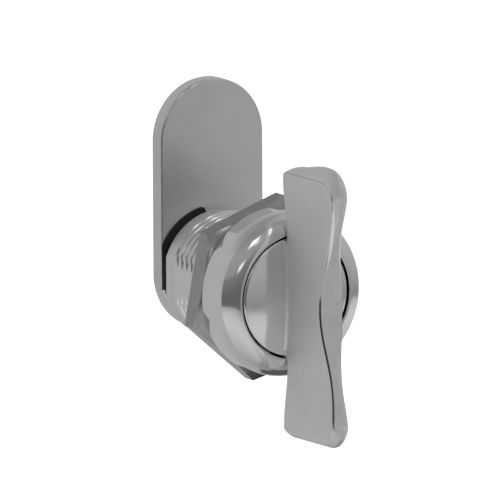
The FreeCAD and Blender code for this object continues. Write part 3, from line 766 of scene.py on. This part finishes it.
def make_disc():
    """The knob's crowned disc, and the spindle behind it with its grooves, square end and tapped hole."""
    edge = DISC_RADIUS
    face = [(r * MM, disc_surface_y(r * MM)) for r in (0.02, 1, 2, 3, 4, 5, 6, 7, 8, 9, 9.5)]
    rest = rounded(
        [(9.5 * MM, disc_surface_y(9.5 * MM)), (edge, disc_surface_y(9.85 * MM) + 0.05 * MM, 0.34 * MM),
         (edge, DISC_BACK_Y, 0.2 * MM), (SPINDLE_RADIUS, DISC_BACK_Y),
         # the seal ring's groove, the retaining ring's groove, and the square end
         (SPINDLE_RADIUS, 1.05 * MM), (4.5 * MM, 1.05 * MM), (4.5 * MM, 2.95 * MM),
         (SPINDLE_RADIUS, 2.95 * MM),
         (SPINDLE_RADIUS, 12.55 * MM), (5.2 * MM, 12.55 * MM), (5.2 * MM, 13.65 * MM),
         (SPINDLE_RADIUS, 13.65 * MM), (SPINDLE_RADIUS, SHOULDER_Y),
         (SQUARE_CORNER_RADIUS, SHOULDER_Y + 0.02 * MM), (SQUARE_CORNER_RADIUS, KNOB_BACK_Y - 0.3 * MM),
         (5.1 * MM, KNOB_BACK_Y), (3.4 * MM, KNOB_BACK_Y),
         (3.0 * MM, KNOB_BACK_Y - 0.4 * MM), (3.0 * MM, 10.2 * MM), (0.02 * MM, 9.0 * MM)],
        closed=False,
    )[1:]
    profile = face + [tuple(point) for point in rest]
    corner = math.acos(SQUARE_HALF / SQUARE_CORNER_RADIUS)
    edges = [quarter * FULL_TURN / 4 + sign * corner for quarter in range(4) for sign in (-1, 1)]
    bm = lathe(profile, turn_angles(240, edges), spindle_limit, closed=False)
    fill_openings(bm)
    return new_piece("knob_disc", bm, "knob", POLISHED)


def make_stop_plate():
    """The moulded stop disc: a round hub, and a thinner sector, bevelled and cut off flush with the cam."""
    front, back = SHOULDER_Y + 0.01 * MM, CAM_FRONT_Y - 0.02 * MM
    hub, rim = high("stop_disc").x, 11.3 * MM
    first, last = math.radians(98.4), math.radians(192.4)
    corner = 0.8 * MM
    hair = 10 * TINY

    def limit(angle, radius, _):
        if not first <= angle <= last:
            return min(radius, hub)
        past = (angle - first) * rim
        reach = rim
        if past < corner:
            reach = rim - corner + math.sqrt(max(corner**2 - (corner - past) ** 2, 0.0))
        across = abs(math.cos(angle))
        if across > 0.5:
            reach = min(reach, CAM_HALF_WIDTH / across)
        return min(radius, reach)

    hole = 5.7 * MM
    step = 0.4 * MM
    profile = [(hole, front), (hub - 0.1 * MM, front), (hub, front + 0.1 * MM), (hub, front + step),
               (9.9 * MM, front + step), (rim - 0.15 * MM, back - 0.3 * MM), (rim, back - 0.15 * MM),
               (rim, back), (hole, back)]
    corner_angles = [first + i * corner / rim / 6 for i in range(1, 7)]
    ends = [first - hair, first] + corner_angles + [last, last + hair]
    bm = lathe(profile, turn_angles(240, ends), limit)
    return new_piece("stop_plate", bm, "knob", PLASTIC, ["stop_disc"], sharp_degrees=30)


# ---------------------------------------------------------------- cam
CAM_REACH = high("cam").z - CAM_HALF_WIDTH


def stadium(radius, y):
    """The cam's outline, drawn in by making its end rounds smaller."""
    round_steps, side_steps = 48, 12
    points = []
    for start, centre, side in ((0.0, CAM_REACH, -1), (math.pi, 0.0, 1)):
        for i in range(round_steps + 1):
            angle = start + math.pi * i / round_steps
            points.append((radius * math.cos(angle), y, centre + radius * math.sin(angle)))
        for i in range(1, side_steps):
            share = i / side_steps if side > 0 else 1 - i / side_steps
            points.append((side * radius, y, CAM_REACH * share))
    return points


def square_hole(half, y, corner):
    """A square outline with rounded corners."""
    ends = [(half, half), (-half, half), (-half, -half), (half, -half)]
    return [(a, y, b) for a, b in rounded([(*end, corner) for end in ends])]


def make_cam():
    """A stamped plate: rounded over at the front, with a small burr edge at the back, and a square hole."""
    front_edge, front_steps, back_edge, back_steps = 0.38 * MM, 6, 0.2 * MM, 4
    rings = []
    for i in range(front_steps + 1):
        angle = FULL_TURN / 4 * i / front_steps
        drawn_in = front_edge * (1 - math.sin(angle))
        rings.append(stadium(CAM_HALF_WIDTH - drawn_in, CAM_FRONT_Y + front_edge * (1 - math.cos(angle))))
    for i in range(back_steps + 1):
        angle = FULL_TURN / 4 * i / back_steps
        drawn_in = back_edge * (1 - math.cos(angle))
        rings.append(stadium(CAM_HALF_WIDTH - drawn_in, CAM_BACK_Y - back_edge * (1 - math.sin(angle))))
    bm = grid(rings)
    hole = 4.05 * MM
    inner = [square_hole(hole + 0.15 * MM, CAM_FRONT_Y, 0.3 * MM),
             square_hole(hole, CAM_FRONT_Y + 0.15 * MM, 0.2 * MM),
             square_hole(hole, CAM_BACK_Y - 0.1 * MM, 0.2 * MM),
             square_hole(hole + 0.1 * MM, CAM_BACK_Y, 0.3 * MM)]
    rows = [[bm.verts.new(point) for point in ring] for ring in inner]
    for near, far in zip(rows, rows[1:]):
        for i in range(len(near)):
            j = (i + 1) % len(near)
            bm.faces.new((near[i], near[j], far[j], far[i]))
    for level in (CAM_FRONT_Y, CAM_BACK_Y):
        rim = [edge for edge in bm.edges
               if edge.is_boundary and all(abs(vert.co.y - level) < 0.1 * TINY for vert in edge.verts)]
        bmesh.ops.triangle_fill(bm, use_beauty=True, use_dissolve=False, edges=rim)
    return new_piece("cam_plate", bm, "knob", NICKEL, ["cam"], sharp_degrees=30)


# ---------------------------------------------------------------- fastener at the back
def make_flat_washer():
    """A turned washer with softened edges."""
    front, back = low("cam_washer").y, high("cam_washer").y
    hole, outer, edge = 3.2 * MM, 6.0 * MM, 0.2 * MM
    corners = [(hole, front, edge), (outer, front, edge), (outer, back, edge), (hole, back, edge)]
    bm = lathe([tuple(point) for point in rounded(corners, steps=4)], turn_angles(144))
    return new_piece("flat_washer", bm, "knob", ZINC, ["cam_washer"])


def make_lock_washer():
    """A split spring washer: one turn of square wire whose ends stand a little apart."""
    front, back = low("lock_washer").y, high("lock_washer").y
    inner, outer, edge = 3.25 * MM, 5.55 * MM, 0.15 * MM
    opening = math.radians(13)
    lift = 0.22 * MM
    thick = back - front - lift
    corners = [(inner, 0, edge), (outer, 0, edge), (outer, thick, edge), (inner, thick, edge)]
    section = rounded(corners, steps=3)
    rings = []
    steps = 96
    for i in range(steps + 1):
        share = i / steps
        angle = opening / 2 + (FULL_TURN - opening) * share
        start = front + lift * share
        rings.append([(a * math.cos(angle), start + b, a * math.sin(angle)) for a, b in section])
    bm = grid(rings)
    fill_openings(bm)
    return new_piece("split_washer", bm, "knob", ZINC, ["lock_washer"])


SCREW_HEAD_HALF = 5.0 * MM
SCREW_HEAD_CROWN = 4.75 * MM
SCREW_RADIUS = 2.95 * MM
SCREW_THREAD_DEPTH = 0.5 * MM
SCREW_PITCH = 1.0 * MM
SCREW_TIP = 0.5 * MM


def make_screw():
    """The cam screw: a bevelled hexagon head and a threaded shank."""
    head_front, head_back = high("lock_washer").y, high("cam_screw").y
    thread_start = low("cam_screw").y + SCREW_TIP

    def limit(angle, radius, y):
        if y > head_front - TINY and radius > 4.6 * MM:
            return min(radius, hexagon_radius(angle, SCREW_HEAD_HALF, 0.0, 0.25 * MM))
        if thread_start < y < head_front - 0.8 * MM and abs(radius - SCREW_RADIUS) < TINY:
            phase = (y / SCREW_PITCH - angle / FULL_TURN) % 1.0
            return SCREW_RADIUS - SCREW_THREAD_DEPTH * (1 - smooth(abs(phase - 0.5) * 2.4))
        return radius

    rows = 110
    length = head_front - thread_start
    bevel = math.tan(math.radians(30))
    corner = SCREW_HEAD_HALF / math.cos(math.radians(30))

    def bevel_point(radius, lower=0.0):
        return radius, head_back - (radius - SCREW_HEAD_CROWN) * bevel - lower

    profile = [(0.02 * MM, low("cam_screw").y), (SCREW_RADIUS - SCREW_TIP, low("cam_screw").y),
               (SCREW_RADIUS, thread_start)]
    profile += [(SCREW_RADIUS, thread_start + length * i / rows) for i in range(1, rows + 1)]
    profile += [(SCREW_HEAD_CROWN, head_front), (corner, head_front + 0.12 * MM)]
    profile += [(corner, head_front + (head_back - head_front) * share) for share in (0.3, 0.6)]
    profile += [bevel_point(corner, 0.02 * MM), bevel_point(SCREW_HEAD_HALF + 0.3 * MM),
                bevel_point(SCREW_HEAD_HALF), (SCREW_HEAD_CROWN, head_back - 0.01 * MM),
                (SCREW_HEAD_CROWN - 0.3 * MM, head_back), (3.4 * MM, head_back),
                (3.2 * MM, head_back - 0.15 * MM), (0.02 * MM, head_back - 0.18 * MM)]
    bm = lathe(profile, turn_angles(180, HEXAGON_CORNERS), limit, closed=False)
    fill_openings(bm)
    return new_piece("hex_screw", bm, "knob", ZINC, ["cam_screw"])


# ---------------------------------------------------------------- CAD pieces that keep their meshes
def dress(node_name, material):
    """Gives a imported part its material. Its mesh stays as it is."""
    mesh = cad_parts[node_name].data
    mesh.materials.clear()
    mesh.materials.append(material)


make_housing()
make_stop_collar()
make_nut()
make_blade()
make_disc()
make_stop_plate()
make_cam()
make_flat_washer()
make_lock_washer()
make_screw()
for node_name, material in (
    ("friction_washer", PLASTIC), ("seal_ring", RUBBER),
    ("thrust_washer", SPRING), ("spring_washer", SPRING), ("retaining_ring", SPRING),
):
    dress(node_name, material)


# ---------------------------------------------------------------- camera
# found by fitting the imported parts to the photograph's outlines
CAMERA_ANGLES = (-31.807, 11.238, -0.27)
CAMERA_DISTANCE = 2.104
CAMERA_RIGHT, CAMERA_UP, CAMERA_TARGET_Y = -0.00566, 0.00748, -0.002375
FOCAL_LENGTH_MM = 926.7


def make_camera():
    """The camera at the photograph's viewing angle."""
    azimuth, elevation, roll = [math.radians(degrees) for degrees in CAMERA_ANGLES]
    back = Vector((math.sin(azimuth) * math.cos(elevation), -math.cos(azimuth) * math.cos(elevation),
                   math.sin(elevation)))
    level_right = Vector((math.cos(azimuth), math.sin(azimuth), 0))
    level_up = back.cross(level_right)
    right = level_right * math.cos(roll) + level_up * math.sin(roll)
    up = level_up * math.cos(roll) - level_right * math.sin(roll)
    data = bpy.data.cameras.new("camera")
    data.sensor_width = 36
    data.lens = FOCAL_LENGTH_MM
    data.clip_start, data.clip_end = 0.1, 20
    camera = bpy.data.objects.new("camera", data)
    place = back * CAMERA_DISTANCE + right * CAMERA_RIGHT + up * CAMERA_UP + Vector((0, CAMERA_TARGET_Y, 0))
    camera.matrix_world = Matrix((
        (right.x, up.x, back.x, place.x),
        (right.y, up.y, back.y, place.y),
        (right.z, up.z, back.z, place.z),
        (0, 0, 0, 1),
    ))
    bpy.context.scene.collection.objects.link(camera)
    bpy.context.scene.camera = camera


# ---------------------------------------------------------------- light, backdrop and floor
def soft_light(name, azimuth, elevation, distance, width, height, power):
    """A soft box that faces the lock. Azimuth 0 is in front of it and 90 on its right."""
    a, e = math.radians(azimuth), math.radians(elevation)
    towards = Vector((math.sin(a) * math.cos(e), -math.cos(a) * math.cos(e), math.sin(e)))
    data = bpy.data.lights.new(name, "AREA")
    data.shape = "RECTANGLE"
    data.size, data.size_y = width, height
    data.energy = power
    light = bpy.data.objects.new(name, data)
    light.location = towards * distance
    light.rotation_mode = "QUATERNION"
    light.rotation_quaternion = towards.to_track_quat("Z", "Y")
    light.visible_camera = False
    light.visible_glossy = False
    bpy.context.scene.collection.objects.link(light)


# what the plated metal mirrors, as (elevation in degrees, level) stops for each part of the tent
FRONT_LEVELS = ((-90, 0.49), (-75, 0.58), (-50, 0.74), (-32, 0.86), (-22, 0.80), (-17, 0.62), (-15.2, 0.54),
                (-14.4, 0.19), (-6, 0.18), (2, 0.22), (14, 0.28), (18, 0.42), (40, 0.46), (56, 0.40),
                (64, 0.36), (90, 0.36))
RIGHT_LEVELS = ((-90, 0.42), (-72, 0.40), (-48, 0.50), (-32, 0.70), (-20, 0.87), (-15.2, 0.76), (-13.8, 0.32),
                (-10.5, 0.43), (-4, 0.53), (8, 0.60), (40, 0.62), (62, 0.56), (90, 0.40))
WALL_LEVELS = ((-90, 0.49), (-75, 0.56), (-30, 0.62), (40, 0.60), (60, 0.44), (90, 0.36))
# where those parts lie, in degrees: azimuth, half width, soft edge
RIGHT_WINDOW = (68, 60, 8)
FRONT_WINDOW = (-38, 47, 3)
# small lamps above the front, and two dark patches low on the right:
# azimuth, elevation, half width, half height, level
LAMPS = ((-16, 46, 9, 6, 1.9), (14, 47, 4, 11, 1.6), (-22, 18, 7, 3, 1.4), (-4, 36, 4, 2, 1.2),
         (95, -58, 60, 17, 0.13), (46, -49, 14, 14, 0.16))
SOFT_EDGE = 2.5
TENT_BRIGHTNESS = 0.74
FLOOR_Z = -0.16


def make_world():
    """A light tent, drawn by direction: what the plated metal mirrors. The camera itself sees plain white."""
    world = bpy.data.worlds.new("tent")
    bpy.context.scene.world = world
    world.use_nodes = True
    tree = world.node_tree
    tree.nodes.clear()
    x, y, z = separate(tree, tree.nodes.new("ShaderNodeTexCoord").outputs["Generated"])
    azimuth = math_node(tree, "ARCTAN2", x, math_node(tree, "MULTIPLY", y, -1.0))
    elevation = math_node(tree, "ARCSINE", z)
    height = span(tree, elevation, -math.pi / 2, math.pi / 2, 0.0, 1.0)

    def window(value, centre, half, soft):
        """1 within half of the centre, fading to 0 over the soft edge."""
        away = math_node(tree, "ABSOLUTE", math_node(tree, "SUBTRACT", value, math.radians(centre)))
        return smooth_step(tree, away, math.radians(half + soft), math.radians(half - soft))

    def levels(stops):
        return ramp(tree, height, [((degrees + 90) / 180, level) for degrees, level in stops])

    def blend(under, over, mask):
        gap = math_node(tree, "SUBTRACT", over, under)
        return math_node(tree, "ADD", under, math_node(tree, "MULTIPLY", mask, gap))

    level = blend(levels(WALL_LEVELS), levels(RIGHT_LEVELS), window(azimuth, *RIGHT_WINDOW))
    level = blend(level, levels(FRONT_LEVELS), window(azimuth, *FRONT_WINDOW))
    for centre_az, centre_el, half_width, half_height, lamp_level in LAMPS:
        across = window(azimuth, centre_az, half_width, SOFT_EDGE)
        upright = window(elevation, centre_el, half_height, SOFT_EDGE)
        level = blend(level, lamp_level, math_node(tree, "MULTIPLY", across, upright))
    tent = tree.nodes.new("ShaderNodeBackground")
    tent.inputs["Color"].default_value = (TENT_BRIGHTNESS, TENT_BRIGHTNESS, TENT_BRIGHTNESS, 1)
    tree.links.new(level, tent.inputs["Strength"])
    white = tree.nodes.new("ShaderNodeBackground")
    white.inputs["Color"].default_value = (1, 1, 1, 1)
    path = tree.nodes.new("ShaderNodeLightPath")
    mix = tree.nodes.new("ShaderNodeMixShader")
    tree.links.new(path.outputs["Is Camera Ray"], mix.inputs[0])
    tree.links.new(tent.outputs[0], mix.inputs[1])
    tree.links.new(white.outputs[0], mix.inputs[2])
    out = tree.nodes.new("ShaderNodeOutputWorld")
    tree.links.new(mix.outputs[0], out.inputs["Surface"])


def make_floor():
    """A wide pale floor some way below the lock."""
    bm = bmesh.new()
    bmesh.ops.create_grid(bm, x_segments=40, y_segments=40, size=6.0)
    bmesh.ops.translate(bm, verts=bm.verts, vec=(0, 0, FLOOR_Z))
    mesh = bpy.data.meshes.new("floor")
    bm.to_mesh(mesh)
    bm.free()
    material, tree, shader, coordinates = new_material("pale_paper")
    cloud = noise(tree, coordinates, 6, detail=3)
    tree.links.new(ramp(tree, cloud, [(0.3, 0.93), (0.7, 0.96)]), shader.inputs["Base Color"])
    shader.inputs["Roughness"].default_value = 0.9
    shader.inputs["Specular IOR Level"].default_value = 0.1
    shader.inputs["Emission Color"].default_value = (1, 1, 1, 1)
    shader.inputs["Emission Strength"].default_value = 0.6
    mesh.materials.append(material)
    floor = bpy.data.objects.new("floor", mesh)
    bpy.context.scene.collection.objects.link(floor)
    floor.visible_glossy = False


make_camera()
make_world()
make_floor()
soft_light("key", -25, 48, 1.6, 0.9, 0.5, 14)
soft_light("rim", -115, 35, 1.6, 0.8, 0.8, 6)
bpy.context.scene.view_settings.view_transform = "Standard"
